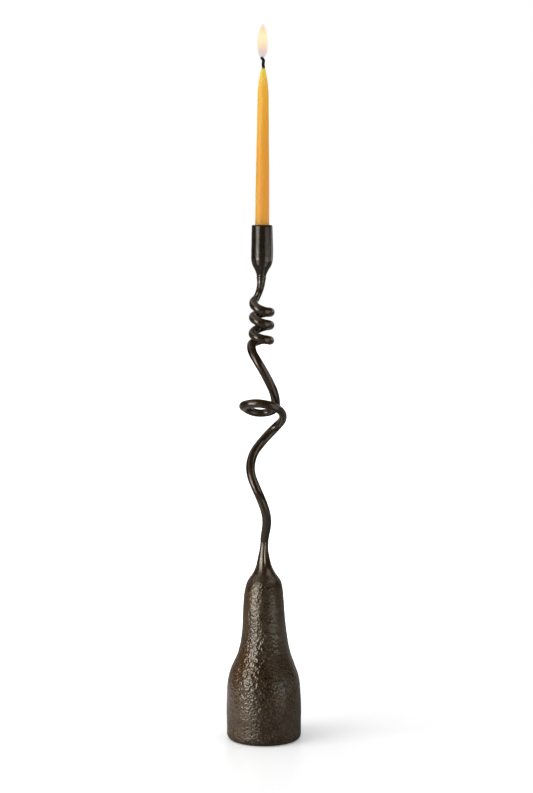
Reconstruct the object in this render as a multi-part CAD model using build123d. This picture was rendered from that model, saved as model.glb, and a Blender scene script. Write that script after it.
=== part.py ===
from build123d import *
import os
from math import cos, hypot, pi, radians, sin

# Spiral candle holder: a cast squash-shaped foot, a forged tendril stem, a candle cup and a taper candle.
# Millimetres, +Z up. The origin is the centre of the underside, on the surface that the holder stands on.
# The front of the holder looks along -Y.

# Foot: a hollow casting in the shape of a squash, with its neck drawn up to meet the stem
belly_radius = 34.9
belly_height = 47.5
shoulder_radius = 18.1
shoulder_height = 135.2
neck_height = 51.6
neck_radius = 3.4
foot_edge_radius = 3.2
wall = 4.5
crown_thickness = 9.0

# Outline of the neck: share of the way from neck to shoulder radius, share of the neck's height
neck_shares = [(0.03, 0.82), (0.22, 0.565), (0.55, 0.385), (0.80, 0.285), (0.905, 0.20)]
# Outline of the flank: share of the way from shoulder to belly radius, and from belly to shoulder height
flank_shares = [(0.055, 0.82), (0.21, 0.52), (0.37, 0.395), (0.63, 0.26), (0.80, 0.17), (0.90, 0.085)]
# Outline of the belly: share of the belly radius, share of the belly height
belly_shares = [(0.976, 0.97), (1.0, 0.5), (0.992, 0.12)]

# Felt pad: glued up against a ledge inside the foot's rim, and standing a little proud of it
rim_width = 4.0
ledge_width = 2.4
pad_thickness = 2.5
pad_proud = 0.3
pad_clearance = 0.3

# Stem: a forged round bar, wound as a left-handed tendril that climbs a quarter turn between stations
rod_radius = 3.8
stem_height = 247.0
sway_radius = 12.6
loop_radius = 16.5
coil_radius = 7.8
coil_pitch = 13.6
coil_turns = 3
coil_start_reach = 11.7
coil_drift = 0.7
lead_height = 23.7
stem_waist_radius = 2.9
stem_top_radius = 4.0
stem_straight_end = 4.0

# Stations from the foot upwards, a quarter turn apart, starting on the right: reach and sideways place
# as shares of the sway or loop radius, height as a share of the height where the coil begins
lower_sway_shares = [(0.20, 0.0, 0.10), (0.66, -0.36, 0.247), (1.0, 0.0, 0.380), (1.52, 0.62, 0.560)]
loop_shares = [
    (1.07, 0.13, 0.6415),
    (0.96, 0.08, 0.713),
    (1.155, 0.015, 0.696),
    (0.895, -0.11, 0.6525),
    (0.66, 0.13, 0.706),
]
upper_sway_shares = [(0.82, -0.24, 0.901)]
# Share of the coil's pitch that each quarter turn climbs, from the left side upwards, in three uneven turns
coil_quarter_shares = [0.41, 0.0, 0.15, 0.32, 0.40, 0.17, 0.185, 0.35, 0.25, 0.095, 0.155, 0.50]
# Last station, behind the top of the coil: reach and sideways place as shares of the coil radius,
# climb as a share of the height from the coil to the cup
lead_shares = (0.50, -0.52, 0.25)

# Candle cup: a turned socket with a bored seat for the candle, drawn in below to meet the stem
cup_offset = -1.85
cup_height = 47.6
cup_rim_radius = 9.05
cup_belly_radius = 9.7
cup_rim_edge = 0.6
bore_depth = 28.0
candle_clearance = 0.3
# Height of the cup's widest place as a share of the cup's height
cup_belly_share = 0.42
# Outline below it: share of the way from the stem's top radius to the widest, share of that height
cup_tail_shares = [(0.90, 0.68), (0.67, 0.49), (0.30, 0.30), (0.08, 0.12)]

# Fastenings, all of one thread size
thread_radius = 1.5
thread_clearance = 0.15
tapped_clearance = 0.03
thread_grip = 5.5
tapped_spare = 1.5
screw_head_radius = 3.0
screw_head_height = 1.7
washer_radius = 5.0
washer_thickness = 1.0
nut_across_flats = 5.5
nut_thickness = 2.4
stud_spare = 4.0

# Candle: a dipped taper that leans a little in its loose seat
candle_radius = 6.35
candle_length = 170.0
candle_upper_radius = 4.7
candle_tip_rim = 0.37
candle_tip_length = 24.0
candle_lean = 0.4
candle_seat_gap = 0.1
# Outline of the tip: share of the way from tip to upper radius, share of the tip's length
candle_tip_shares = [(0.84, 0.30), (0.62, 0.56), (0.24, 0.82)]

# Wick: a braided cord through the whole candle, bent over at its burnt end
wick_radius = 1.3
wick_stand = 7.0
wick_bend_radius = 4.4
wick_bend_angle = 62.0
wick_clearance = 0.03

# Places that follow from the sizes above
body_height = shoulder_height + neck_height
cavity_top = shoulder_height - crown_thickness
recess_radius = belly_radius - rim_width
stem_top = body_height + stem_height
coil_rise = stem_height - lead_height - coil_turns * coil_pitch
cup_top = stem_top + cup_height
bore_floor = cup_top - bore_depth
bore_radius = candle_radius + candle_clearance
hole_radius = thread_radius + thread_clearance
tapped_radius = thread_radius + tapped_clearance
tapped_depth = thread_grip + tapped_spare
wick_channel = wick_radius + wick_clearance
QUARTERS_PER_TURN = 4
QUARTER = 360.0 / QUARTERS_PER_TURN
SAMPLES_PER_ARC = 6
MM3_PER_CM3 = 1000


def between(low, high, share):
    """The value that lies this share of the way from low to high."""
    return low + share * (high - low)


def turned(outline):
    """A solid of revolution about Z from a closed outline of (radius, height) places."""
    return revolve(Plane.XZ * make_face(outline), Axis.Z)


# Squash-shaped foot


def flank_points(inset):
    """The flank's outline from the shoulder down to the belly, moved in towards the axis."""
    return [
        (between(shoulder_radius, belly_radius, r) - inset, between(belly_height, shoulder_height, z))
        for r, z in flank_shares
    ]


def squash_body():
    """The casting, turned in one outline: neck, flank, belly, rim, pad ledge, cavity and stud hole."""
    neck_top = (neck_radius, body_height)
    neck = [
        (between(neck_radius, shoulder_radius, r), shoulder_height + z * neck_height)
        for r, z in neck_shares
    ]
    belly = [(r * belly_radius, z * belly_height) for r, z in belly_shares]
    shoulder = (shoulder_radius, shoulder_height)
    rim_radius = belly[-1][0]
    skin = Spline(
        neck_top, *neck, shoulder, *flank_points(0), *belly, tangents=[(0, -1), (0, -1)]
    )
    edge_start = (rim_radius, pad_proud + foot_edge_radius)
    edge_end = (rim_radius - foot_edge_radius, pad_proud)
    mouth_radius = recess_radius - ledge_width
    cavity_shoulder = (shoulder_radius - wall, cavity_top)
    inner_belly = (mouth_radius, belly_height)
    cavity = Spline(
        inner_belly, *reversed(flank_points(wall)[1:4]), cavity_shoulder, tangents=[(0, 1), (0, 1)]
    )
    outline = [
        skin,
        Line(skin @ 1, edge_start),
        RadiusArc(edge_start, edge_end, foot_edge_radius),
        Polyline(
            edge_end,
            (recess_radius, pad_proud),
            (recess_radius, pad_thickness),
            (mouth_radius, pad_thickness),
            inner_belly,
        ),
        cavity,
        Polyline(
            cavity_shoulder, (hole_radius, cavity_top), (hole_radius, body_height), neck_top
        ),
    ]
    return turned(outline)


def felt_pad():
    """A felt disc under the hollow of the foot, which the holder rests on."""
    return extrude(Circle(recess_radius - pad_clearance), pad_thickness)


# Tendril stem


def biarc(start, start_way, end, end_way):
    """Two arcs that leave start and reach end along the given unit directions and meet smoothly."""
    span = end - start
    ways = start_way + end_way
    a = 2 * (1 - start_way.dot(end_way))
    reach = span.dot(ways)
    arm = span.length**2 / (reach + (reach**2 + a * span.length**2) ** 0.5)
    start_knee = start + start_way * arm
    end_knee = end - end_way * arm
    middle = (start_knee + end_knee) / 2
    middle_way = (end_knee - start_knee).normalized()
    return [
        TangentArc(start, middle, tangent=start_way),
        TangentArc(middle, end, tangent=middle_way),
    ]


def side_point(index, reach, aside, height):
    """A station's place: stations go right, front, left, back and round again as the stem climbs."""
    angle = radians(-QUARTER * index)
    outward = Vector(cos(angle), sin(angle), 0)
    across = Vector(abs(sin(angle)), abs(cos(angle)), 0)
    return outward * reach + across * aside + Vector(0, 0, height)


def stem_stations():
    """The tendril's places from the foot's neck to the cup, each with its side of the turn."""
    places = []
    runs = [(lower_sway_shares, sway_radius), (loop_shares, loop_radius), (upper_sway_shares, sway_radius)]
    for shares, radius in runs:
        places += [(reach * radius, aside * radius, height * coil_rise) for reach, aside, height in shares]
    places.append((coil_start_reach, 0, coil_rise))
    rise = coil_rise
    quarters = QUARTERS_PER_TURN * coil_turns
    for quarter in range(quarters):
        rise += coil_quarter_shares[quarter % len(coil_quarter_shares)] * coil_pitch
        centre = between(cup_offset - coil_drift, cup_offset, quarter / quarters)
        on_side = len(places) % 2 == 0
        leftward = -centre if len(places) % 4 == 2 else centre
        reach = coil_radius + (leftward if on_side else 0)
        places.append((reach, 0 if on_side else centre, rise))
    reach, aside, climb = lead_shares
    places.append((reach * coil_radius, cup_offset + aside * coil_radius, rise + climb * lead_height))
    return [side_point(i, r, s, body_height + z) for i, (r, s, z) in enumerate(places)]


def station_ways(stations, before, after):
    """Each station's direction: level along its turn, and climbing as steeply as its neighbours ask."""
    around = [before, *stations, after]
    ways = []
    for i, place in enumerate(stations):
        low, high = around[i], around[i + 2]
        run = hypot(place.X - low.X, place.Y - low.Y) + hypot(high.X - place.X, high.Y - place.Y)
        angle = radians(-QUARTER * i)
        level = Vector(sin(angle), -cos(angle), 0)
        ways.append((level * run + Vector(0, 0, high.Z - low.Z)).normalized())
    return ways


def stem_path():
    """The stem's centre line as three runs of arcs: the foot end, the tendril and the cup end."""
    up = Vector(0, 0, 1)
    foot = Vector(0, 0, body_height)
    cup = Vector(cup_offset, 0, stem_top)
    cup_bend = cup - up * stem_straight_end
    stations = stem_stations()
    ways = station_ways(stations, foot, cup_bend)
    arcs = []
    for i in range(len(stations) - 1):
        arcs += biarc(stations[i], ways[i], stations[i + 1], ways[i + 1])
    tendril, lead = arcs[:-2], arcs[-2:]
    foot_end = biarc(foot, up, stations[0], ways[0])
    cup_end = [*lead, *biarc(stations[-1], ways[-1], cup_bend, up), Line(cup_bend, cup)]
    return foot_end, tendril, cup_end


def ring(edge, place, radius):
    """A round section across an edge of the path, at a share of the edge's length."""
    return Plane(edge @ place, z_dir=edge % place) * Circle(radius)


def report_path(edges):
    """Prints the tightest bend, the length and the least gap between turns of the stem."""
    bends = [edge.radius for edge in edges if edge.geom_type == GeomType.CIRCLE]
    length = sum(edge.length for edge in edges)
    samples = []
    for edge in edges:
        samples += [edge @ (k / SAMPLES_PER_ARC) for k in range(SAMPLES_PER_ARC)]
    step = length / len(samples)
    apart = int(pi * 2 * rod_radius / step)
    gaps = [
        (samples[i] - samples[j]).length - 2 * rod_radius
        for i in range(len(samples))
        for j in range(i + apart, len(samples))
    ]
    print(f"stem: length {length:.1f}, tightest bend {min(bends):.2f}, least gap to itself {min(gaps):.2f}")


def tendril_stem():
    """One unbroken forged bar: tapered to the foot's neck, looped, coiled and waisted under the cup."""
    foot_end, tendril, cup_end = stem_path()
    report_path([*foot_end, *tendril, *cup_end])
    foot_rings = [ring(foot_end[0], 0, neck_radius), ring(foot_end[-1], 1, rod_radius)]
    cup_rings = [
        ring(cup_end[0], 0, rod_radius),
        ring(cup_end[1], 1, stem_waist_radius),
        ring(cup_end[-1], 1, stem_top_radius),
    ]
    bar = sweep(ring(tendril[0], 0, rod_radius), path=Wire(tendril))
    bar += sweep(foot_rings, path=Wire(foot_end), multisection=True)
    bar += sweep(cup_rings, path=Wire(cup_end), multisection=True)
    foot_hole = Pos(0, 0, body_height) * Cylinder(
        tapped_radius, tapped_depth, align=(Align.CENTER, Align.CENTER, Align.MIN)
    )
    cup_hole = Pos(cup_offset, 0, stem_top) * Cylinder(
        tapped_radius, tapped_depth, align=(Align.CENTER, Align.CENTER, Align.MAX)
    )
    return bar - foot_hole - cup_hole


# Candle cup and fastenings


def candle_cup():
    """The socket: bored for the candle, countersunk for its screw, and drawn in to the stem's top."""
    cup_belly = between(stem_top, cup_top, cup_belly_share)
    tail = [
        (between(stem_top_radius, cup_belly_radius, r), between(stem_top, cup_belly, z))
        for r, z in cup_tail_shares
    ]
    rim_outer = (cup_rim_radius, cup_top - cup_rim_edge)
    rim_top = (cup_rim_radius - cup_rim_edge, cup_top)
    side = Line(rim_outer, (cup_belly_radius, cup_belly))
    skin = Spline(side @ 1, *tail, (stem_top_radius, stem_top), tangents=[side % 1, (0, -1)])
    sink_radius = screw_head_radius + thread_clearance
    sink_depth = screw_head_height + thread_clearance
    outline = [
        RadiusArc(rim_top, rim_outer, cup_rim_edge),
        side,
        skin,
        Polyline(
            skin @ 1,
            (hole_radius, stem_top),
            (hole_radius, bore_floor - sink_depth),
            (sink_radius, bore_floor),
            (bore_radius, bore_floor),
            (bore_radius, cup_top),
            rim_top,
        ),
    ]
    return Pos(cup_offset, 0, 0) * turned(outline)


def cup_screw():
    """A countersunk screw down through the cup's floor into the tapped top of the stem."""
    head = bore_floor - thread_clearance / 2
    end = stem_top - thread_grip
    outline = Polyline(
        (0, head),
        (screw_head_radius, head),
        (thread_radius, head - screw_head_height),
        (thread_radius, end),
        (0, end),
        close=True,
    )
    return Pos(cup_offset, 0, 0) * turned(outline)


def stud_nut():
    """The nut inside the crown that draws the stem down on the neck."""
    blank = RegularPolygon(nut_across_flats / 2, 6, major_radius=False) - Circle(tapped_radius)
    return Pos(0, 0, cavity_top - washer_thickness - nut_thickness) * extrude(blank, nut_thickness)


def stud_washer():
    """The washer that spreads the nut's pull over the inside of the crown."""
    blank = Circle(washer_radius) - Circle(hole_radius)
    return Pos(0, 0, cavity_top - washer_thickness) * extrude(blank, washer_thickness)


def tie_stud():
    """A threaded stud from the stem's lower end, down the neck and through the nut."""
    top = body_height + thread_grip
    bottom = cavity_top - washer_thickness - nut_thickness - stud_spare
    return Pos(0, 0, bottom) * Cylinder(
        thread_radius, top - bottom, align=(Align.CENTER, Align.CENTER, Align.MIN)
    )


# Candle and wick


def in_seat(shape):
    """Stands a piece made about the Z axis in the cup's seat, with the candle's lean."""
    return Pos(cup_offset, 0, bore_floor + candle_seat_gap) * Rot(0, candle_lean, 0) * shape


def candle():
    """A dipped taper with a rounded tip, pierced along its length for the wick."""
    tip_start = candle_length - candle_tip_length
    tip_radius = wick_channel + candle_tip_rim
    tip = [
        (between(tip_radius, candle_upper_radius, r), tip_start + z * candle_tip_length)
        for r, z in candle_tip_shares
    ]
    side = Line((candle_radius, bore_depth), (candle_upper_radius, tip_start))
    crown = Spline(side @ 1, *tip, (tip_radius, candle_length), tangents=[side % 1, (-1, 1)])
    outline = [
        side,
        crown,
        Polyline(
            crown @ 1,
            (wick_channel, candle_length),
            (wick_channel, 0),
            (candle_radius, 0),
            (candle_radius, bore_depth),
        ),
    ]
    return in_seat(turned(outline))


def wick():
    """The wick: straight through the wax, then curled over to the left where it has burnt."""
    straight = Line((0, 0), (0, candle_length + wick_stand))
    curl = JernArc(straight @ 1, straight % 1, wick_bend_radius, wick_bend_angle)
    path = Plane.XZ * Wire([straight, curl])
    return in_seat(sweep(Circle(wick_radius), path=path))


SUBPARTS = [
    squash_body,
    felt_pad,
    tendril_stem,
    tie_stud,
    stud_washer,
    stud_nut,
    candle_cup,
    cup_screw,
    candle,
    wick,
]


def main():
    os.makedirs("parts", exist_ok=True)
    for make in SUBPARTS:
        shape = make()
        export_step(shape, f"parts/{make.__name__}.step")
        print(f"{make.__name__}: {shape.volume / MM3_PER_CM3:.2f} cm3")


if __name__ == "__main__":
    main()
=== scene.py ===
import math

import bmesh
import bpy
import numpy as np
from mathutils import Matrix, Vector, noise
from mathutils.bvhtree import BVHTree


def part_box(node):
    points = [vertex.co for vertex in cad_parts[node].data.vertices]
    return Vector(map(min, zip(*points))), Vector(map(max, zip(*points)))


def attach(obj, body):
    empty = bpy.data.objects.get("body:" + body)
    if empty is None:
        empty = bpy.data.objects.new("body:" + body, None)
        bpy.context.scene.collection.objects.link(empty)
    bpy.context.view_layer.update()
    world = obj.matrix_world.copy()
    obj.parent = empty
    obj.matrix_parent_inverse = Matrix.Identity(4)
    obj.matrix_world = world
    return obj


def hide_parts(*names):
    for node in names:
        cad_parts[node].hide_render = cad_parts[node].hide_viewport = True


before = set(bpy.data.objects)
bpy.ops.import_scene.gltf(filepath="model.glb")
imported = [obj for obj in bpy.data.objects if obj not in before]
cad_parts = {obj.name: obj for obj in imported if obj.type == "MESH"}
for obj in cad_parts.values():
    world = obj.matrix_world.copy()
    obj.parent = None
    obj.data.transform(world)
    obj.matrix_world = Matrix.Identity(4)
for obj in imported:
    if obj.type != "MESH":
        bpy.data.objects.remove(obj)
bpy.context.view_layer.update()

# The stage is in metres. Sizes and places of the pieces are in millimetres, in their materials too.
MM = 0.001
WHITE = (1.0, 1.0, 1.0, 1.0)
BLACK = (0.0, 0.0, 0.0)

scene = bpy.context.scene
scene.view_settings.view_transform = "Standard"


# Camera, at the photograph's viewing angle

CAMERA_PLACE = (0.0023, -1.78764, 0.4818)
CAMERA_DIP = 5.0832
CAMERA_LENS = 87.78
CAMERA_SENSOR = 36

camera = bpy.data.objects.new("camera", bpy.data.cameras.new("camera"))
camera.location = CAMERA_PLACE
camera.rotation_euler = (math.radians(90 - CAMERA_DIP), 0, 0)
camera.data.lens = CAMERA_LENS
camera.data.sensor_width = CAMERA_SENSOR
scene.collection.objects.link(camera)
scene.camera = camera


# Node helpers


class Graph:
    """Builds one node tree: sockets are linked and plain values are set."""

    def __init__(self, tree):
        self.tree = tree
        tree.nodes.clear()

    def add(self, kind, sockets=None, **settings):
        node = self.tree.nodes.new("ShaderNode" + kind)
        for key, value in settings.items():
            setattr(node, key, value)
        for key, value in (sockets or {}).items():
            if isinstance(value, bpy.types.NodeSocket):
                self.tree.links.new(value, node.inputs[key])
            else:
                node.inputs[key].default_value = value
        return node

    def math(self, operation, *values, clamp=False):
        """An operation on two values, or carried on along more of them."""
        result = values[0]
        for value in values[1:]:
            sockets = {0: result, 1: value}
            result = self.add("Math", sockets, operation=operation, use_clamp=clamp).outputs[0]
        return result

    def plus(self, *values):
        return self.math("ADD", *values)

    def minus(self, a, b):
        return self.math("SUBTRACT", a, b)

    def times(self, *values):
        return self.math("MULTIPLY", *values)

    def either(self, a, b):
        """Two shares together, at most 1."""
        return self.math("ADD", a, b, clamp=True)

    def vector(self, operation, *vectors):
        """The outputs of a vector operation."""
        return self.add("VectorMath", dict(enumerate(vectors)), operation=operation).outputs

    def parts(self, vector):
        """A vector's X, Y and Z."""
        return self.add("SeparateXYZ", {0: vector}).outputs

    def place(self):
        """Where a point lies on its own piece, in metres."""
        return self.add("TexCoord").outputs["Object"]

    def stretch(self, place, x, y, z):
        return self.add("Mapping", {"Vector": place, "Scale": (x, y, z)}).outputs[0]

    def millimetres(self, place):
        """The X, Y and Z of a place, in millimetres."""
        return self.parts(self.stretch(place, 1 / MM, 1 / MM, 1 / MM))

    def mix(self, factor, a, b):
        """Two colours mixed, each of them a socket or red, green and blue."""
        a, b = (c if isinstance(c, bpy.types.NodeSocket) else (*c, 1) for c in (a, b))
        return self.add("Mix", {0: factor, 6: a, 7: b}, data_type="RGBA").outputs[2]

    def span(self, value, low, high, start=0.0, end=1.0, curve="SMOOTHSTEP"):
        """The value moved from low..high to start..end, held at both ends."""
        sockets = {0: value, 1: low, 2: high, 3: start, 4: end}
        return self.add("MapRange", sockets, interpolation_type=curve).outputs[0]

    def band(self, value, rise, fall, peak):
        """The peak between a rise and a fall of the value, and nothing beyond them."""
        return self.minus(self.span(value, *rise, 0.0, peak), self.span(value, *fall, 0.0, peak))

    def noise(self, place, size, detail=3.0, roughness=0.55, distortion=0.0):
        """Noise of about this size in millimetres, from 0 to 1."""
        sockets = {
            "Vector": place, "Scale": 1 / (size * MM), "Detail": detail,
            "Roughness": roughness, "Distortion": distortion,
        }
        return self.add("TexNoise", sockets).outputs["Fac"]

    def ramp(self, factor, stops):
        node = self.add("ValToRGB", {0: factor})
        marks = node.color_ramp.elements
        while len(marks) < len(stops):
            marks.new(0.5)
        for mark, (place, colour) in zip(marks, stops):
            mark.position = place
            mark.color = (*colour, 1)
        return node.outputs[0]

    def bump(self, height, strength, depth):
        sockets = {"Height": height, "Strength": strength, "Distance": depth * MM}
        return self.add("Bump", sockets).outputs[0]


def material(name):
    made = bpy.data.materials.new(name)
    made.use_nodes = True
    return made, Graph(made.node_tree)


def surface(graph, **sockets):
    """A Principled shader as the material's surface."""
    names = {key.replace("_", " ").title().replace("Ior", "IOR"): value for key, value in sockets.items()}
    shader = graph.add("BsdfPrincipled", names)
    graph.add("OutputMaterial", {"Surface": shader.outputs[0]})


# World: white to the camera, dimmer to matt surfaces, and in gloss bright behind and high on the left

AMBIENT = 0.63


def studio_world():
    world = bpy.data.worlds.new("studio")
    world.use_nodes = True
    graph = Graph(world.node_tree)
    ray = graph.add("LightPath").outputs
    glossy = ray["Is Glossy Ray"]
    shown = graph.either(ray["Is Camera Ray"], ray["Is Transmission Ray"])
    way = graph.parts(graph.add("TexCoord").outputs["Generated"])
    behind = graph.span(way["Y"], 0.50, 0.92, 0.03, 0.50)
    high_left = graph.times(graph.span(way["X"], -0.60, -0.30, 0.70, 0.0), graph.span(way["Z"], 0.40, 0.65))
    mirrored = graph.times(glossy, graph.math("MAXIMUM", behind, high_left))
    matt = graph.minus(1.0, graph.either(shown, glossy))
    strength = graph.plus(shown, mirrored, graph.times(matt, AMBIENT))
    sky = graph.add("Background", {"Color": WHITE, "Strength": strength})
    graph.add("OutputWorld", {"Surface": sky.outputs[0]})
    return world


scene.world = studio_world()


# Floor: white to the camera away from the foot, and in gloss dark but for its lit stretches

FLOOR_REACH = 6
FLOOR_WHITE = (0.92, 0.92, 0.92)
# About the way along the floor to the key lamps
KEY_WAY = (-0.777, -0.629, 0.0)


def pale_floor():
    """Glows white away from the foot; near it, the lamps light it and it takes the shadow, but for painted
    light on its left. Gloss sees a painted pool of the key lamps' light.
    """
    paint, graph = material("pale_floor")
    ray = graph.add("LightPath").outputs
    glossy = ray["Is Glossy Ray"]
    seen = graph.either(ray["Is Camera Ray"], ray["Is Transmission Ray"])
    place = graph.place()
    away = graph.vector("LENGTH", place)["Value"]
    toward = graph.parts(graph.vector("NORMALIZE", place)["Vector"])
    across, along = graph.parts(place)[:2]
    polish = graph.times(
        graph.span(graph.math("ABSOLUTE", across, 0.0), 0.03, 0.10, 1.0, 0.0),
        graph.span(along, -0.02, 0.02, 1.0, 0.0),
        graph.span(along, -0.34, -0.12),
    )
    lit_side = graph.times(
        graph.span(across, -0.16, 0.02, 0.62, 0.0),
        graph.span(away, 0.16, 0.42, 1.0, 0.0),
    )
    far_side = graph.times(
        graph.span(toward["X"], 0.40, 0.75, 0.0, 0.75),
        graph.span(toward["Y"], -0.50, -0.20, 1.0, 0.0),
        graph.span(away, 0.12, 0.45),
    )
    mirrored = graph.times(glossy, graph.plus(graph.span(away, 0.08, 0.40, 0.13, 0.15), lit_side, far_side))
    # A painted pool of the key lamps' light on the floor, seen only in gloss
    facing = graph.math("DIVIDE", graph.vector("DOT_PRODUCT", place, KEY_WAY)["Value"], away)
    under_key = graph.times(
        graph.span(facing, 0.955, 0.988, 0.0, 3.2),
        graph.span(away, 0.50, 0.80),
        glossy,
    )
    level = graph.plus(
        graph.span(away, 0.16, 0.50, 0.20, 1.0),
        # More glow left of the foot: painted light that clears the foot's shadow there
        graph.span(across, -0.042, -0.032, 0.06, 0.0),
        graph.times(polish, 0.03),
    )
    glow = graph.times(graph.either(seen, mirrored), level)
    unlit = graph.math("SUBTRACT", glossy, mirrored, clamp=True)
    surface(
        graph, base_color=graph.mix(unlit, FLOOR_WHITE, BLACK), roughness=0.35,
        specular_ior_level=graph.times(polish, 0.25),
        emission_color=WHITE, emission_strength=graph.plus(glow, under_key),
    )
    return paint


corners = [(x * FLOOR_REACH, y * FLOOR_REACH, 0) for x, y in ((-1, -1), (1, -1), (1, 1), (-1, 1))]
floor_mesh = bpy.data.meshes.new("floor")
floor_mesh.from_pydata(corners, [], [(0, 1, 2, 3)])
floor = bpy.data.objects.new("floor", floor_mesh)
scene.collection.objects.link(floor)
floor_mesh.materials.append(pale_floor())


# Lamps


def softbox(name, place, target, width, height, radiance, spread=True, mirrored=True):
    """A soft lamp whose face has this radiance, and which lights matt surfaces, shows in gloss, or both."""
    lamp = bpy.data.lights.new(name, "AREA")
    lamp.shape = "RECTANGLE"
    lamp.size = width
    lamp.size_y = height
    lamp.energy = radiance * math.pi * width * height
    box = bpy.data.objects.new(name, lamp)
    box.location = place
    box.rotation_euler = (Vector(place) - Vector(target)).to_track_quat("Z", "Y").to_euler()
    box.visible_camera = False
    box.visible_diffuse = spread
    box.visible_glossy = mirrored
    scene.collection.objects.link(box)


softbox("key_left", (-1.28, -1.02, 0.60), (0, 0, 0.45), 1.12, 1.18, 4.1, spread=False)
softbox("key_core", (-1.24, -0.99, 0.28), (0, 0, 0.28), 0.46, 0.54, 4.5, spread=False)
softbox("left_top", (-1.02, -0.46, 1.43), (0, 0, 0.30), 0.90, 0.90, 4.2, mirrored=False)
softbox("fill_right", (0.258, -0.145, 0.435), (0, 0, 0.435), 0.30, 0.20, 1.3, spread=False)
softbox("rim_right", (0.265, 0.14, 0.465), (0, 0, 0.465), 0.15, 0.16, 1.5, spread=False)
softbox("candle_fill", (0.22, -0.12, 0.58), (0, 0, 0.56), 0.12, 0.20, 0.75, mirrored=False)
softbox("top", (-0.25, -0.10, 1.95), (0, 0, 0.3), 0.90, 0.90, 1.4, mirrored=False)


# Mesh helpers

# Where a ray that looks for a turned solid's outside starts: this far out, and off the seam
CAST_FROM = 200.0
OFF_SEAM = 0.01
# What most of Blender's noise lies within, on either side of 0
NOISE_SPREAD = 0.45
# How much a skin draws in at its ends, and over what distance
EASE_DEPTH = 0.25
EASE_REACH = 0.9
# How far the neck leans to the right at the stem, and the cup's tail to the left
NECK_LEAN = 0.45
TAIL_LEAN = 0.85


def skin(name, rings, joined=False):
    """A smooth piece over rings of points: its ends are closed, or joined to each other."""
    rings = np.asarray(rings, float)
    count, around = rings.shape[:2]
    index = np.arange(count * around).reshape(count, around)
    if joined:
        index = np.vstack([index, index[:1]])
    turned = np.roll(index, -1, axis=1)
    faces = np.stack([index[:-1], turned[:-1], turned[1:], index[1:]], axis=-1).reshape(-1, 4).tolist()
    places = rings.reshape(-1, 3)
    if not joined:
        places = np.vstack([places, rings[0].mean(0), rings[-1].mean(0)])
        low, high = len(places) - 2, len(places) - 1
        faces += [(low, b, a) for a, b in zip(index[0].tolist(), turned[0].tolist())]
        faces += [(high, a, b) for a, b in zip(index[-1].tolist(), turned[-1].tolist())]
    mesh = bpy.data.meshes.new(name)
    mesh.from_pydata((places * MM).tolist(), [], faces)
    work = bmesh.new()
    work.from_mesh(mesh)
    bmesh.ops.recalc_face_normals(work, faces=work.faces)
    work.to_mesh(mesh)
    work.free()
    mesh.polygons.foreach_set("use_smooth", [True] * len(mesh.polygons))
    piece = bpy.data.objects.new(name, mesh)
    scene.collection.objects.link(piece)
    return piece


def dress(piece, paint, body, slot, *nodes):
    """Gives a piece its material and its body, and hides the CAD nodes that it stands for; the slot, its
    finish, is not used.
    """
    piece.data.materials.append(paint)
    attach(piece, body)
    if nodes:
        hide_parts(*nodes)


def even(line, step):
    """Points along a line of points, about this far apart."""
    line = np.asarray(line, float)
    run = np.r_[0, np.cumsum(np.linalg.norm(np.diff(line, axis=0), axis=1))]
    marks = np.linspace(0, run[-1], max(2, round(run[-1] / step) + 1))
    return np.stack([np.interp(marks, run, column) for column in line.T], axis=1)


def bearings(around):
    return np.linspace(0, 2 * math.pi, around, endpoint=False)


def revolved(outline, around, centre=(0.0, 0.0)):
    """Rings about a vertical axis from an outline of (radius, height) places."""
    outline = np.asarray(outline, float)
    angle = bearings(around)
    radius, height = outline[:, :1], outline[:, 1:]
    x = centre[0] + radius * np.cos(angle)
    y = centre[1] + radius * np.sin(angle)
    return np.stack([x, y, np.broadcast_to(height, x.shape)], axis=-1)


def outward(outline):
    """The unit direction (radius, height) out of the skin at each place of an outline that climbs."""
    along = np.gradient(np.asarray(outline, float), axis=0)
    out = np.stack([along[:, 1], -along[:, 0]], axis=1)
    return out / np.linalg.norm(out, axis=1, keepdims=True)


def pushed(rings, out, depth):
    """Rings of a turned skin moved out of the skin by a depth at each point."""
    level = rings[..., :2] - rings[..., :2].mean(axis=1, keepdims=True)
    level /= np.linalg.norm(level, axis=-1, keepdims=True)
    moved = rings.copy()
    moved[..., :2] += level * (out[:, :1] * depth)[..., None]
    moved[..., 2] += out[:, 1:] * depth
    return moved


def node_outline(node, heights, centre_x=0.0):
    """The outside of a turned CAD node, as (radius, height) at these heights."""
    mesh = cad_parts[node].data
    tree = BVHTree.FromPolygons([v.co for v in mesh.vertices], [p.vertices for p in mesh.polygons])
    radii = []
    for height in heights:
        start = Vector((centre_x + CAST_FROM, OFF_SEAM, height)) * MM
        place = tree.ray_cast(start, Vector((-1, 0, 0)))[0]
        radii.append(place.x / MM - centre_x)
    return np.stack([radii, heights], axis=1)


def step_up(value, low, high):
    share = np.clip((value - low) / (high - low), 0, 1)
    return share * share * (3 - 2 * share)


def hill(value, rise, fall):
    """1 between a rise and a fall of the value, and 0 beyond them."""
    return step_up(value, *rise) * (1 - step_up(value, *fall))


def grain(places, size, seed):
    """Noise of about this size at each place, mostly from -1 to 1."""
    shape = places.shape[:-1]
    flat = places.reshape(-1, 3) / size + seed
    return np.array([noise.noise(p) for p in flat.tolist()]).reshape(shape) / NOISE_SPREAD


def creases(places, size, seed):
    """Sharp ridges of about this size, from -0.6 to 0.5."""
    return 0.5 - np.abs(grain(places, size, seed)).clip(0, 1.1)


def wrapped(angle, run, reach, draw):
    """Places for noise that goes round a bar and is drawn out along its run."""
    return np.stack(np.broadcast_arrays(np.cos(angle) * reach, np.sin(angle) * reach, run / draw), axis=-1)


def eased(distance):
    """How far a skin draws in at this distance from its end."""
    return EASE_DEPTH * np.clip(1 - distance / EASE_REACH, 0, 1) ** 2


def neck_lean(height):
    """The top of the foot's neck and the stem's lower end lean a little to the right."""
    return NECK_LEAN * hill(height, (178, 191), (192, 203))


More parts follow.
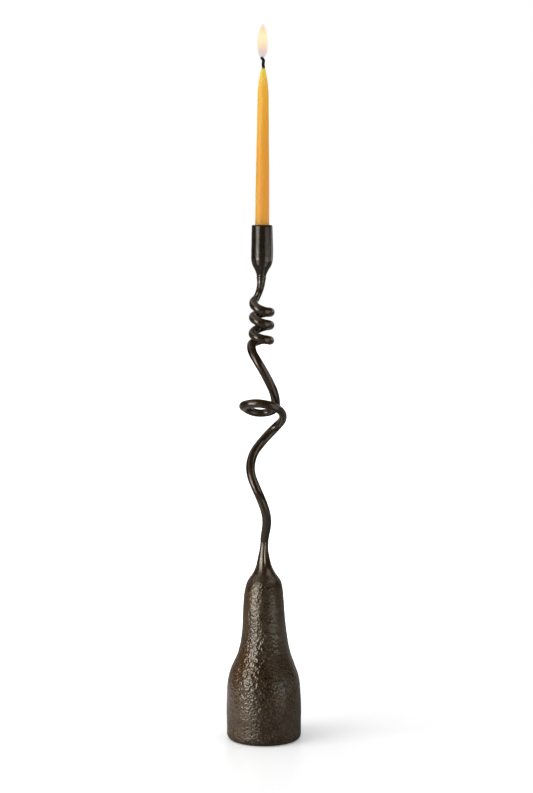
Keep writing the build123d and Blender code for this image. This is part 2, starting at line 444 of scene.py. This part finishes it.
def tail_lean(height):
    """The stem's end and the cup's tail lean a little to the left of the cup's axis."""
    return -TAIL_LEAN * hill(height, (410, 426), (425, 448))


# Foot: a rough cast skin, crumpled on the flank and belly, drawn smooth at the neck

BODY_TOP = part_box("squash_body")[1].z / MM
BODY_AROUND = 420
CELL = 0.5
RIM = 0.3
RIM_ROUND = 0.6
RECESS_RADIUS = 30.9
LEDGE = 2.5
# How far the dressed surfaces stand outside their solids
PROUD = 0.34
# The bearings of the casting's roughest side, and of one of its neck's flutes and facets
ROUGH_BEARING = math.radians(-116)
FLUTE_BEARING = math.radians(-86)
FACET_BEARING = math.radians(-113)
FLUTE_COUNT = 5
FACET_COUNT = 6
# How far the middle of a facet lies inside the round neck, as a share of the radius
FACET_CUT = 0.055
# Heights between which the flank rises and falls, the skin turns smooth and the neck begins
FLANK = (26, 64), (80, 134)
DRAWN = 145, 162
NECK = 157, 170
# Heights at which the casting stands a little to the left or right of its axis
BODY_LEANS = [
    (12, 0.0), (22, -0.12), (36, -0.12), (46, -0.42), (62, -0.42), (68, -0.50), (74, -0.15), (82, 0.22),
    (98, 0.28), (111, -0.08), (122, -0.36), (137, -0.40), (151, 0.18), (164, -0.05), (174, -0.25),
    (182, 0.0),
]
# Heights at which it swells or shrinks a little
BODY_SWELLS = [
    (5.5, 0.0), (60, 0.0), (72, -0.12), (80, -0.35), (88, -0.1), (96, 0.2), (104, 0.38), (118, 0.3),
    (130, 0.1), (142, -0.1), (152, 0.05), (160, 0.2), (168, 0.45), (172, 0.45), (177, 0.1), (182, 0.0),
]
# Bearing, height, spread and rise of the lumps and hollows that the casting kept
LUMPS = [
    (-119, 58.7, 7.5, 1.0), (-112, 86, 6.5, 0.55), (-86, 68, 5.5, -0.6), (-76, 44, 6.5, -0.4),
    (-141, 74, 6, -0.4), (-104, 112, 7, 0.4), (-126, 30, 8, 0.35),
]

FOOT_BROWNS = [
    (0.30, (0.021, 0.0100, 0.0027)), (0.50, (0.041, 0.0205, 0.0055)), (0.72, (0.070, 0.041, 0.0145)),
]
RUST = (0.105, 0.046, 0.013)
# A painted reflection of the right-hand light, laid on as a green-grey patch
FILL_REFLECTION_GREEN = (0.076, 0.075, 0.053)
# A grey-green tone on the right, made lighter as a painted sheen of the right-hand light
GREY_SIDE_AND_SHEEN = (0.068, 0.057, 0.039)
# A darker warm band at the shoulder: partly patina, partly painted shade that dulls its sheen
SHOULDER_BROWN_AND_SHADE = (0.030, 0.0125, 0.0032)
# Painted sheen of the right-hand light, for the middle of the right flank
RIGHT_SHEEN = (0.075, 0.062, 0.044)
# Ochre flecks: partly patina, partly painted glints
OCHRE_AND_GLINTS = (0.188, 0.116, 0.053)
# Painted shade of small pits that the skin doesn't have
PIT_SHADE = (0.006, 0.003, 0.001)
FOOT_GLOSS = (0.99, 0.96, 0.86, 1)
# Where the painted reflection of the right-hand light lies, as a green-grey patch, and how much less high
# than wide it is
REFLECTION_X, REFLECTION_Y, REFLECTION_Z = 21, -28, 57.94
REFLECTION_SQUASH = 1.7


def facets(angle):
    """How far hammered facets lie inside the round neck, as a share of its radius, at each bearing."""
    half = math.pi / FACET_COUNT
    off = (angle - FACET_BEARING + half) % (2 * half) - half
    return 1 - np.minimum(1, (1 - FACET_CUT) / np.cos(off))


def foot_form(rings, outline, angle):
    """The casting's own shape: its swells, the tuck over its rim, and its lumps."""
    height = rings[..., 2]
    form = 0.16 * grain(rings, 34, 23.5) + np.interp(height, *zip(*BODY_SWELLS))
    form -= (0.62 - 0.22 * np.cos(angle)) * (1 - step_up(height, RIM, 5.5))
    for bearing, level, spread, rise in LUMPS:
        reach = np.interp(level, outline[:, 1], outline[:, 0])
        turn = math.radians(bearing)
        spot = reach * math.cos(turn), reach * math.sin(turn), level
        form += rise * np.exp(-((rings - spot) ** 2).sum(axis=-1) / (2 * spread**2))
    return form


def foot_depth(rings, outline):
    """How far the cast skin stands out of its solid at each point."""
    height = rings[..., 2]
    angle = np.arctan2(rings[..., 1], rings[..., 0])
    rough_side = np.cos(angle - ROUGH_BEARING)
    drawn = step_up(height, *DRAWN)
    warp = np.stack([grain(rings, 6.5, seed) for seed in (11.3, 27.7, 41.9)], axis=-1)

    bent = rings + 1.3 * warp
    folds = creases(bent * (1, 1, 0.8), 5.2, 5.3)
    swells = -creases(bent, 3.7, 8.9)
    wrinkles = creases(bent, 2.1, 17.1)
    crumpled = np.clip(0.26 + 0.50 * rough_side + 0.22 * grain(rings, 24, 3.1), 0.05, 1.0)
    crumpled *= 0.14 + 0.74 * hill(height, *FLANK)
    crumples = crumpled * (0.47 * folds + 0.28 * swells + 0.15 * wrinkles)

    pebbles = 0.11 * grain(rings + 0.5 * warp, 2.2, 14.2)
    grit = (0.12 - 0.045 * step_up(height, 100, 125)) * grain(rings, 1.25, 19.8)
    gritty = 0.25 + 0.75 * step_up(rough_side, 0.35, 0.85)

    flutes = ((1 + np.cos(FLUTE_COUNT * (angle - FLUTE_BEARING))) / 2) ** 6
    neck = step_up(height, *NECK) * (0.27 - 0.70 * flutes - facets(angle) * outline[:, :1])
    streaks = 0.10 * grain(wrapped(angle, height, 9, 14), 2.6, 31.0)

    depth = PROUD + foot_form(rings, outline, angle) + neck
    depth += (1 - drawn) * crumples + (1 - 0.85 * drawn) * gritty * (pebbles + grit) + drawn * streaks
    return depth * step_up(height, RIM, 1.6)


def foot_rings():
    heights = np.r_[np.linspace(RIM + 0.02, 2.6, 40), np.linspace(3.0, BODY_TOP - 0.02, 900)]
    outline = even(node_outline("squash_body", heights), CELL)
    rings = revolved(outline, BODY_AROUND)
    rings = pushed(rings, outward(outline), foot_depth(rings, outline))
    height = rings[..., 2]
    rings[..., 0] += neck_lean(height) + np.interp(height, *zip(*BODY_LEANS))
    edge = [(RECESS_RADIUS, LEDGE), (RECESS_RADIUS, RIM), (outline[0, 0] - RIM_ROUND, RIM)]
    return np.concatenate([revolved(edge, BODY_AROUND), rings])


def cast_skin():
    """A dark brown patina, rusty on the left and grey on the right, with painted sheen and a painted
    reflection on the right, a darker shoulder band partly of painted shade, and, low down, ochre flecks
    that are partly painted glints and painted shade of pits.
    """
    paint, graph = material("cast_skin")
    place = graph.place()
    side = graph.millimetres(place)
    x = side["X"]
    z = side["Z"]
    broad = graph.noise(place, 38, 4)
    mottle = graph.noise(place, 7, 5, 0.65)
    speck = graph.noise(place, 1.4, 3, 0.6)

    rusty = graph.span(graph.plus(graph.times(x, -0.022), broad), 0.55, 1.1, 0.0, 0.62)
    colour = graph.mix(rusty, graph.ramp(mottle, FOOT_BROWNS), RUST)
    # Painted reflection: a green-grey patch on the right of the belly, where the right-hand light would
    # show
    squashed = graph.stretch(place, 1 / MM, 1 / MM, REFLECTION_SQUASH / MM)
    off_reflection = graph.vector("DISTANCE", squashed, (REFLECTION_X, REFLECTION_Y, REFLECTION_Z * REFLECTION_SQUASH))["Value"]
    painted_reflection = graph.minus(graph.times(mottle, 0.5), graph.times(off_reflection, 0.025))
    colour = graph.mix(graph.span(painted_reflection, -0.25, 0.12, 0.0, 0.75), colour, FILL_REFLECTION_GREEN)
    # Grey-green on the right, lighter than the patina as a painted sheen of the right-hand light
    greyed_and_sheen = graph.span(graph.plus(graph.times(x, 0.009), broad), 0.64, 0.90, 0.0, 0.70)
    colour = graph.mix(greyed_and_sheen, colour, GREY_SIDE_AND_SHEEN)
    # A darker warm band at the shoulder: partly patina, partly painted shade that dulls its sheen
    colour = graph.mix(graph.band(z, (138, 150), (160, 168), 0.5), colour, SHOULDER_BROWN_AND_SHADE)
    # Painted sheen: the middle of the right flank made lighter, as the right-hand light would show it
    right_sheen = graph.times(graph.band(z, (55, 70), (100, 120), 0.45), graph.span(x, 0, 12))
    colour = graph.mix(right_sheen, colour, RIGHT_SHEEN)

    # Ochre flecks low down and to the right, and along a band near the rim on the left: partly patina,
    # partly painted glints
    gritty = graph.span(graph.minus(z, graph.times(x, 0.7)), 42, 92, 1.0, 0.22)
    seam = graph.times(graph.band(z, (6, 9), (10.5, 13.5), 0.06), graph.span(x, 4, 18, 1.0, 0.0))
    flecks = graph.times(graph.span(graph.plus(speck, seam), 0.55, 0.67, 0.0, 0.75), gritty)
    colour = graph.mix(flecks, colour, OCHRE_AND_GLINTS)
    # Dark pits low down: painted shade of hollows that the skin doesn't have
    shaded_pits = graph.times(graph.span(graph.noise(place, 1.4, 2), 0.38, 0.47, 0.95, 0.0), gritty)
    colour = graph.mix(shaded_pits, colour, PIT_SHADE)

    worn = graph.span(z, 24, 52, 0.14, 0.0)
    satin = graph.span(z, 85, 115, 0.0, 0.07)
    sleek = graph.span(z, 148, 165, 0.0, -0.11)
    dull_end = graph.span(z, 182.5, 186.8, 0.0, 0.34)
    rough = graph.plus(graph.span(mottle, 0.3, 0.7, 0.16, 0.28), worn, satin, sleek, dull_end)
    surface(
        graph, base_color=colour, metallic=0.2, roughness=rough, ior=1.80, specular_tint=FOOT_GLOSS,
        normal=graph.bump(graph.noise(place, 1.1, 3, 0.6), 0.40, 0.30),
    )
    return paint


dress(skin("squash_body_skin", foot_rings()), cast_skin(), "holder", "cast_skin", "squash_body")


# Stem: a forged bar wound as a tendril, on the same stations as its CAD solid

UP = np.array([0.0, 0.0, 1.0])
STEM_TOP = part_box("candle_cup")[0].z / MM
CUP_X = -1.85
# How far the sway, the open loop and the coil reach from the axis
SWAY = 12.6
LOOP = 16.5
COIL = 7.8
# The coil's start above the foot, its rise in a turn and its drift to the cup's axis
COIL_RISE = 182.5
PITCH = 13.6
DRIFT = 0.7
# The height of the lead from the coil to the cup, and the straight stretch at its end
LEAD_HEIGHT = 23.7
STRAIGHT = 4
# Reach, offset and share of the coil's start of each station, a quarter turn apart
STATIONS = [
    (0.20 * SWAY, 0, 0.10), (0.66 * SWAY, -0.36 * SWAY, 0.247), (SWAY, 0, 0.380),
    (1.52 * SWAY, 0.62 * SWAY, 0.560), (1.07 * LOOP, 0.13 * LOOP, 0.6415),
    (0.96 * LOOP, 0.08 * LOOP, 0.713), (1.155 * LOOP, 0.015 * LOOP, 0.696),
    (0.895 * LOOP, -0.11 * LOOP, 0.6525), (0.66 * LOOP, 0.13 * LOOP, 0.706),
    (0.82 * SWAY, -0.24 * SWAY, 0.901), (1.5 * COIL, 0, 1.0),
]
# The share of the pitch that the coil climbs in each quarter turn
QUARTERS = [0.41, 0.0, 0.15, 0.32, 0.40, 0.17, 0.185, 0.35, 0.25, 0.095, 0.155, 0.50]
# The bar's radius at its lower end, at each station and at the cup
LOWER_RADII = [3.5, 3.95, 3.95, 3.91, 3.98, 3.15, 3.65, 3.88, 3.22, 3.84, 3.8, 3.82]
COIL_RADIUS = 3.75
LEAD_RADII = [2.72, 3.4, 4.25]
BAR_RADII = LOWER_RADII + [COIL_RADIUS] * len(QUARTERS) + LEAD_RADII
BAR_STEP = 0.55
BAR_AROUND = 44
# How many steps on either side the changes of radius are spread over
SOFTEN = 12

BAR_BROWNS = [
    (0.30, (0.013, 0.0066, 0.0023)), (0.55, (0.027, 0.0148, 0.0055)), (0.75, (0.046, 0.027, 0.011)),
]
SCALE_BROWN = (0.058, 0.027, 0.009)
LOWER_END_BROWN = (0.021, 0.0088, 0.0020)
# A pale painted sheen for the coil's up-facing left, as if lit from above on the left
COIL_SHEEN = (0.108, 0.096, 0.080)
BAR_GLOSS = (1.0, 0.96, 0.86, 1)


def unit(vector):
    return vector / np.linalg.norm(vector)


def side_point(index, reach, aside, height):
    """A station's place, this many quarter turns clockwise round the axis, seen from above."""
    turn = math.radians(-90 * index)
    x = math.cos(turn) * reach + abs(math.sin(turn)) * aside
    y = math.sin(turn) * reach + abs(math.cos(turn)) * aside
    return np.array([x, y, BODY_TOP + height])


def stem_stations():
    places = [(reach, aside, rise * COIL_RISE) for reach, aside, rise in STATIONS]
    rise = COIL_RISE
    for quarter, share in enumerate(QUARTERS):
        rise += share * PITCH
        centre = CUP_X - DRIFT * (1 - quarter / len(QUARTERS))
        spot = len(places) % 4
        if spot % 2:
            places.append((COIL, centre, rise))
        else:
            places.append((COIL - centre if spot == 2 else COIL + centre, 0, rise))
    places.append((0.50 * COIL, CUP_X - 0.52 * COIL, rise + 0.25 * LEAD_HEIGHT))
    return [side_point(i, *place) for i, place in enumerate(places)]


def station_ways(stations, before, after):
    """The bar's direction at each station: level across its side, and climbing with its neighbours."""
    around = [before, *stations, after]
    ways = []
    for i, place in enumerate(stations):
        low, high = around[i], around[i + 2]
        run = np.linalg.norm((place - low)[:2]) + np.linalg.norm((high - place)[:2])
        turn = math.radians(-90 * i)
        ways.append(unit(np.array([math.sin(turn) * run, -math.cos(turn) * run, high[2] - low[2]])))
    return ways


def arc(start, way, end, step):
    """Points on the arc that leaves start along way and reaches end, without its last point."""
    span = end - start
    across = span - way * span.dot(way)
    bend = np.linalg.norm(across)
    count = max(2, round(np.linalg.norm(span) / step))
    share = np.arange(count)[:, None] / count
    if bend < 1e-6:
        return start + span * share
    radius = span.dot(span) / (2 * bend)
    turn = share * 2 * math.atan2(bend, span.dot(way))
    return start + way * radius * np.sin(turn) + across / bend * radius * (1 - np.cos(turn))


def biarc(start, start_way, end, end_way, step):
    """Points on two arcs that leave start and reach end along the given ways."""
    span = end - start
    a = 2 * (1 - start_way.dot(end_way))
    reach = span.dot(start_way + end_way)
    arm = span.dot(span) / (reach + math.sqrt(reach**2 + a * span.dot(span)))
    low_knee = start + start_way * arm
    high_knee = end - end_way * arm
    middle = (low_knee + high_knee) / 2
    middle_way = unit(high_knee - low_knee)
    return np.vstack([arc(start, start_way, middle, step), arc(middle, middle_way, end, step)])


def bar_rings(line, radii, around):
    """Rings across a line of points, carried along it without twist."""
    ways = np.gradient(line, axis=0)
    ways /= np.linalg.norm(ways, axis=1, keepdims=True)
    normal = np.array([1.0, 0.0, 0.0])
    angle = bearings(around)[:, None]
    rings = []
    for place, way, radius in zip(line, ways, radii):
        normal = unit(normal - way * normal.dot(way))
        ring = np.cos(angle) * normal + np.sin(angle) * np.cross(way, normal)
        rings.append(place + ring * np.asarray(radius).reshape(-1, 1))
    return np.array(rings)


def stem_line():
    """The bar's middle line, and where along it each radius of the bar is given."""
    foot = np.array([0, 0, BODY_TOP])
    cup_bend = np.array([CUP_X, 0, STEM_TOP]) - STRAIGHT * UP
    stations = stem_stations()
    ways = station_ways(stations, foot, cup_bend)
    stops = [(foot, UP), *zip(stations, ways), (cup_bend, UP)]
    runs = [biarc(*low, *high, BAR_STEP) for low, high in zip(stops, stops[1:])]
    line = np.vstack([*runs, cup_bend + UP * np.linspace(0, STRAIGHT, 8)[:, None]])
    marks = np.r_[0, np.cumsum([len(run) for run in runs]), len(line) - 1]
    return line, marks


def stem_rings():
    line, marks = stem_line()
    radii = np.interp(np.arange(len(line)), marks, BAR_RADII)
    weights = np.hanning(2 * SOFTEN + 1)
    padded = np.pad(radii, SOFTEN, mode="reflect", reflect_type="odd")
    radii = np.convolve(padded, weights / weights.sum(), mode="valid")
    run = np.arange(len(line)) * BAR_STEP
    from_ends = np.minimum(run, run[-1] - run)
    radii += PROUD - eased(from_ends)
    line[:, 0] += tail_lean(line[:, 2]) + neck_lean(line[:, 2])
    hammered = wrapped(bearings(BAR_AROUND), run[:, None], 1.3, 13.0)
    lumps = 0.05 * grain(hammered, 1.0, 2.2) + 0.02 * grain(hammered * (2.5, 2.5, 5), 1.0, 7.7)
    return bar_rings(line, radii[:, None] + lumps * np.clip(from_ends / 3, 0, 1)[:, None], BAR_AROUND)


def forged_bar():
    """A dark, smooth patina with scale marks, darker and dull at its lower end, with a painted sheen on the
    up-facing left of the coil.
    """
    paint, graph = material("forged_bar")
    place = graph.place()
    side = graph.millimetres(place)
    scale_marks = graph.noise(place, 14, 4, 0.6)
    colour = graph.ramp(graph.noise(place, 4.5, 4, 0.6), BAR_BROWNS)
    colour = graph.mix(graph.span(scale_marks, 0.5, 0.7, 0.0, 0.5), colour, SCALE_BROWN)
    # Darker and duller towards the stem's lower end
    dull_lower_end = graph.span(side["Z"], 200, 226, 0.70, 0.0)
    colour = graph.mix(dull_lower_end, colour, LOWER_END_BROWN)
    # Painted sheen: the up-facing surfaces on the coil's left made paler
    facing_up = graph.parts(graph.add("NewGeometry").outputs["Normal"])["Z"]
    painted_sheen = graph.times(
        graph.span(facing_up, 0.1, 0.6, 0.0, 0.48),
        graph.span(side["X"], -6, -1, 1.0, 0.0),
        graph.span(side["Z"], 360, 400),
    )
    colour = graph.mix(painted_sheen, colour, COIL_SHEEN)
    rough = graph.plus(graph.span(scale_marks, 0.3, 0.7, 0.10, 0.19), dull_lower_end)
    surface(
        graph, base_color=colour, metallic=0.2, roughness=rough, ior=1.64, specular_tint=BAR_GLOSS,
        normal=graph.bump(graph.noise(place, 1.1, 3), 0.06, 0.2),
    )
    return paint


dress(skin("tendril_stem_bar", stem_rings()), forged_bar(), "holder", "forged_bar", "tendril_stem")


# Candle cup: turned, with its bored seat, countersink and screw hole

CUP_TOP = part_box("candle_cup")[1].z / MM
CUP_AROUND = 128
SEAT_DEPTH = 28.0
BORE_FLOOR = CUP_TOP - SEAT_DEPTH
BORE_RADIUS = 6.8
BORE_ROUND = 0.35
LIP_ROUND = 0.5
SINK_RADIUS = 3.15
SINK_DEPTH = 1.85
HOLE_RADIUS = 1.65

CUP_BROWNS = [
    (0.30, (0.0125, 0.0085, 0.0052)), (0.55, (0.022, 0.0165, 0.0105)), (0.75, (0.036, 0.026, 0.0155)),
]
CUP_GLOSS = (1.0, 0.97, 0.87, 1)


def cup_depth(rings):
    """How far the turned skin stands out of its solid at each point."""
    local = rings - (CUP_X, 0, 0)
    above = local[..., 2] - STEM_TOP
    from_top = local[..., 2] - CUP_TOP
    depth = 0.03 * grain(local / (1, 1, 6), 2.2, 4.4) + 0.03 * grain(local, 9, 9.1)
    depth += 0.012 * grain(local, 1.4, 17.0)
    depth *= step_up(above, 0, 1)
    depth += PROUD * (1 - step_up(from_top, -0.7, 0)) + 0.20 * hill(from_top, (-30, -22), (-2, 0))
    depth += 0.15 * (1 - step_up(above, 14.6, 21.6)) - 0.20 * np.exp(-((above - 2.6) / 1.7) ** 2)
    return depth - eased(above)


def cup_rings():
    heights = np.linspace(STEM_TOP + 0.02, CUP_TOP - 0.03, 500)
    outline = even(node_outline("candle_cup", heights, CUP_X), CELL)
    rings = revolved(outline, CUP_AROUND, (CUP_X, 0))
    rings = pushed(rings, outward(outline), cup_depth(rings))
    height = rings[..., 2]
    rings[..., 0] += tail_lean(height) + 0.14 * hill(height - CUP_TOP, (-32, -26), (-3, 0))
    lip = even([(outline[-1, 0] - LIP_ROUND, CUP_TOP), (BORE_RADIUS + BORE_ROUND, CUP_TOP)], CELL)
    bore = even([(BORE_RADIUS, CUP_TOP - BORE_ROUND), (BORE_RADIUS, BORE_FLOOR)], 1.0)
    hole = [(SINK_RADIUS, BORE_FLOOR), (HOLE_RADIUS, BORE_FLOOR - SINK_DEPTH), (HOLE_RADIUS, STEM_TOP)]
    seat = revolved(np.vstack([lip, bore, hole]), CUP_AROUND, (CUP_X, 0))
    return np.concatenate([rings, seat])


def turned_cup():
    """The same dark patina, streaked along the cup and a little sleeker low on its belly."""
    paint, graph = material("turned_cup")
    place = graph.place()
    streak = graph.noise(graph.stretch(place, 1, 1, 0.12), 1.6, 4, 0.6)
    colour = graph.ramp(graph.noise(place, 5, 4, 0.6), CUP_BROWNS)
    sleek = graph.band(graph.millimetres(place)["Z"], (441, 447), (450, 456), 0.08)
    rough = graph.minus(graph.span(streak, 0.3, 0.7, 0.15, 0.22), sleek)
    surface(
        graph, base_color=colour, metallic=0.3, roughness=rough, ior=1.52, specular_tint=CUP_GLOSS,
        normal=graph.bump(streak, 0.15, 0.15),
    )
    return paint


cup = skin("candle_cup_turned", cup_rings(), joined=True)
dress(cup, turned_cup(), "holder", "turned_cup", "candle_cup")


# Candle: a dipped taper, leaning a little in its seat

CANDLE_LENGTH = 170.0
CANDLE_RADIUS = 6.35
CANDLE_AROUND = 96
UPPER_RADIUS = 4.7
TIP_LENGTH = 24.0
TIP_RADIUS = 1.7
WICK_RADIUS = 1.3
SEAT_GAP = 0.1
LEAN_ANGLE = math.radians(0.4)
SEAT_PLACE = (CUP_X * MM, 0, (BORE_FLOOR + SEAT_GAP) * MM)
LEAN = Matrix.Translation(SEAT_PLACE) @ Matrix.Rotation(LEAN_ANGLE, 4, "Y")
# The height on the candle from which its wax is clear of the cup
CLEAR = SEAT_DEPTH + 1
CANDLE_LINE = [
    (4.2, 0), (CANDLE_RADIUS - 0.5, 0), (CANDLE_RADIUS, 0.6), (CANDLE_RADIUS, SEAT_DEPTH),
    (UPPER_RADIUS, CANDLE_LENGTH - TIP_LENGTH), (4.62, 150.0), (4.22, 153.2), (3.56, 159.4), (2.9, 163.2),
    (2.42, 165.7), (1.95, 168.6), (TIP_RADIUS, CANDLE_LENGTH - 0.25), (WICK_RADIUS + 0.12, CANDLE_LENGTH),
]

HONEYS = [
    (0.15, (0.655, 0.313, 0.027)), (0.55, (0.675, 0.324, 0.027)), (0.90, (0.79, 0.40, 0.043)),
    (1.0, (0.85, 0.475, 0.09)),
]
PALE_STREAK = (0.80, 0.43, 0.085)
WAX_BLOOM = (0.86, 0.57, 0.22)
# How deep red, green and blue light goes into the wax
WAX_DEPTHS = (40, 20, 7)


def candle_rings():
    outline = even(CANDLE_LINE, 0.8)
    rings = revolved(outline, CANDLE_AROUND)
    height = rings[..., 2]
    depth = 0.05 * grain(rings / (1, 1, 14), 3.4, 6.6) + 0.04 * grain(rings, 11, 12.0)
    depth *= step_up(height, CLEAR, CLEAR + 7)
    depth += 0.20 + 0.22 * step_up(height, CLEAR, CLEAR + 41)
    return pushed(rings, outward(outline), depth)


def honey_wax():
    """Translucent wax, paler towards the flame, with the streaks of its dipping."""
    paint, graph = material("honey_wax")
    place = graph.place()
    rise = graph.span(graph.millimetres(place)["Z"], 0, CANDLE_LENGTH, curve="LINEAR")
    streak = graph.noise(graph.stretch(place, 1, 1, 0.07), 3.0, 4, 0.6)
    colour = graph.mix(graph.span(streak, 0.35, 0.7, 0.0, 0.35), graph.ramp(rise, HONEYS), PALE_STREAK)
    bloom = graph.span(graph.noise(place, 1.8, 3), 0.62, 0.75, 0.0, 0.25)
    surface(
        graph, base_color=graph.mix(bloom, colour, WAX_BLOOM), roughness=0.46, ior=1.44,
        subsurface_weight=1.0, subsurface_radius=WAX_DEPTHS, subsurface_scale=MM,
        normal=graph.bump(streak, 0.10, 0.3),
    )
    return paint


candle = skin("candle_wax", candle_rings())
candle.matrix_world = LEAN
dress(candle, honey_wax(), "taper", "wax", "candle")


# Wick: braided cotton, charred where it has burnt and curled over to the left

# How far the wick stands up straight above the wax, and its curl from there
STAND = 7.0
CURL_RADIUS = 4.4
CURL = math.radians(62)
BRAID_RADIUS = 1.12 * WICK_RADIUS
WICK_STEP = 0.35
WICK_AROUND = 24
# The braid's strands, and how fast they wind
STRANDS = 3
WINDING = 1.1

COTTON = (0.50, 0.37, 0.16), (0.62, 0.48, 0.24)
CHAR = (0.006, 0.005, 0.005), (0.018, 0.015, 0.013)


def wick_rings():
    stand = CANDLE_LENGTH + STAND
    straight = np.array([[0, 0, z] for z in np.arange(0.2, stand, WICK_STEP)])
    bend = np.linspace(0, CURL, 16)
    x = CURL_RADIUS * (np.cos(bend) - 1)
    z = stand + CURL_RADIUS * np.sin(bend)
    line = np.vstack([straight, np.stack([x, 0 * bend, z], axis=1)])
    run = np.arange(len(line))[:, None] * WICK_STEP
    end = run[-1, 0]
    turn = bearings(WICK_AROUND)
    radii = BRAID_RADIUS * (1 - 0.12 * step_up(run, end - 1.2, end))
    braid = 0.09 * np.cos(STRANDS * turn - run * WINDING) + 0.07 * np.cos(STRANDS * turn + run * WINDING)
    charred = step_up(run, end - 8, end - 1) * grain(wrapped(turn, run, 1.0, 1.6), 0.8, 3.9)
    return bar_rings(line, radii + braid + 0.10 * charred, WICK_AROUND)


def charred_cotton():
    paint, graph = material("charred_cotton")
    place = graph.place()
    flecks = graph.noise(place, 0.7, 3)
    soot = graph.span(graph.millimetres(place)["Z"], CANDLE_LENGTH - 0.5, CANDLE_LENGTH + 1.6)
    colour = graph.mix(soot, graph.mix(flecks, *COTTON), graph.mix(flecks, *CHAR))
    surface(
        graph, base_color=colour, roughness=0.9, specular_ior_level=0.15,
        normal=graph.bump(flecks, 0.4, 0.15),
    )
    return paint


wick = skin("wick_braid", wick_rings())
wick.matrix_world = LEAN
dress(wick, charred_cotton(), "taper", "wick_cotton", "wick")


# Flame: nested veils over the wick's curled end

WICK_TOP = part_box("wick")[1].z / MM
FLAME_X = -1.3
FLAME_LOW = WICK_TOP - 2.1
FLAME_TALL = 31.0
FLAME_HIGH = FLAME_LOW + FLAME_TALL
FLAME_AROUND = 48
# The height in the flame that its inner veils shrink towards, and the one where its tip starts to lean
FLAME_MIDDLE = 8.4
FLAME_BEND = 18.4
FLAME_LEAN = 0.4
FLAME_LINE = [
    (0.05, 0.0), (2.1, 0.5), (3.3, 2.0), (4.1, 4.4), (4.75, 7.6), (5.1, 11.2), (5.2, 14.8), (4.95, 18.4),
    (4.35, 21.8), (3.45, 24.9), (2.3, 27.7), (1.15, 29.8), (0.05, FLAME_TALL),
]
FLAME_GLOWS = [
    (0.06, (0.70, 0.63, 0.66)), (0.17, (0.79, 0.62, 0.56)), (0.32, (0.97, 0.73, 0.48)),
    (0.47, (0.99, 0.86, 0.53)), (0.66, (0.99, 0.91, 0.55)), (0.84, (0.96, 0.75, 0.40)),
    (1.0, (0.86, 0.60, 0.34)),
]


def veil_rings(width, low, high):
    """The flame's outline made narrower, and shorter below and above its middle."""
    radius, rise = np.array(FLAME_LINE).T
    off = rise - FLAME_MIDDLE
    height = FLAME_LOW + FLAME_MIDDLE + off * np.where(off < 0, low, high)
    rings = revolved(even(np.stack([radius * width, height], axis=1), 0.6), FLAME_AROUND, (FLAME_X, 0))
    rings[..., 0] += FLAME_LEAN * step_up(rings[..., 2], FLAME_LOW + FLAME_BEND, FLAME_HIGH)
    return rings


def flame_glow(name, alpha):
    paint, graph = material(name)
    rise = graph.span(graph.millimetres(graph.place())["Z"], FLAME_LOW, FLAME_HIGH, curve="LINEAR")
    glow = graph.add("Emission", {"Color": graph.ramp(rise, FLAME_GLOWS), "Strength": 1.0})
    clear = graph.add("BsdfTransparent")
    mixed = graph.add("MixShader", {0: alpha, 1: clear.outputs[0], 2: glow.outputs[0]})
    graph.add("OutputMaterial", {"Surface": mixed.outputs[0]})
    return paint


def flame_veil(name, width, low, high, alpha):
    """One see-through layer of the flame."""
    dress(skin(name, veil_rings(width, low, high)), flame_glow(name, alpha), "taper", None)


flame_veil("candle_flame_mantle", 1.0, 1.0, 1.0, 0.28)
flame_veil("candle_flame_body", 0.86, 0.93, 0.93, 0.45)
flame_veil("candle_flame_core", 0.68, 0.85, 0.84, 0.55)


# Felt pad: a soft-edged disc under the foot

PAD_RADIUS = 30.5
PAD_THICKNESS = 2.5
PAD_AROUND = 220
PAD_LINE = [
    (0.5, 0.0), (PAD_RADIUS - 0.7, 0.0), (PAD_RADIUS - 0.2, 0.2), (PAD_RADIUS, 0.8), (PAD_RADIUS, 1.8),
    (PAD_RADIUS - 0.5, 2.4), (0.5, PAD_THICKNESS - 0.02),
]

FIBRES = (0.020, 0.014, 0.010), (0.060, 0.045, 0.032)
TUFT = (0.045, 0.032, 0.022)


def pad_rings():
    rings = revolved(even(PAD_LINE, 0.6), PAD_AROUND)
    fluff = np.abs(0.10 * grain(rings, 1.6, 2.7))
    rings[..., 2] += np.where(rings[..., 2] < 1.2, fluff * 0.6, fluff * -0.4)
    return rings


def brown_felt():
    paint, graph = material("brown_felt")
    place = graph.place()
    fibres = graph.noise(place, 0.8, 4, 0.7, 1.5)
    tufts = graph.span(graph.noise(place, 5, 3), 0.4, 0.7, 0.0, 0.4)
    surface(
        graph, base_color=graph.mix(tufts, graph.mix(fibres, *FIBRES), TUFT), roughness=0.95,
        specular_ior_level=0.1, sheen_weight=0.3, sheen_roughness=0.5,
        normal=graph.bump(fibres, 0.5, 0.3),
    )
    return paint


felt_pad = skin("felt_pad_disc", pad_rings())
dress(felt_pad, brown_felt(), "holder", "felt", "felt_pad")


# Fastenings keep their CAD shapes

STEELS = (0.36, 0.36, 0.35), (0.50, 0.50, 0.48)


def plain_steel():
    paint, graph = material("plain_steel")
    brushed = graph.noise(graph.stretch(graph.place(), 1, 1, 0.1), 0.5, 3)
    surface(
        graph, base_color=graph.mix(brushed, *STEELS), metallic=1.0,
        roughness=graph.span(brushed, 0.3, 0.7, 0.28, 0.42),
        normal=graph.bump(brushed, 0.1, 0.05),
    )
    return paint


steel = plain_steel()
for name in ("tie_stud", "stud_washer", "stud_nut", "cup_screw"):
    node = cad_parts[name]
    node.data.materials.clear()
    node.data.materials.append(steel)
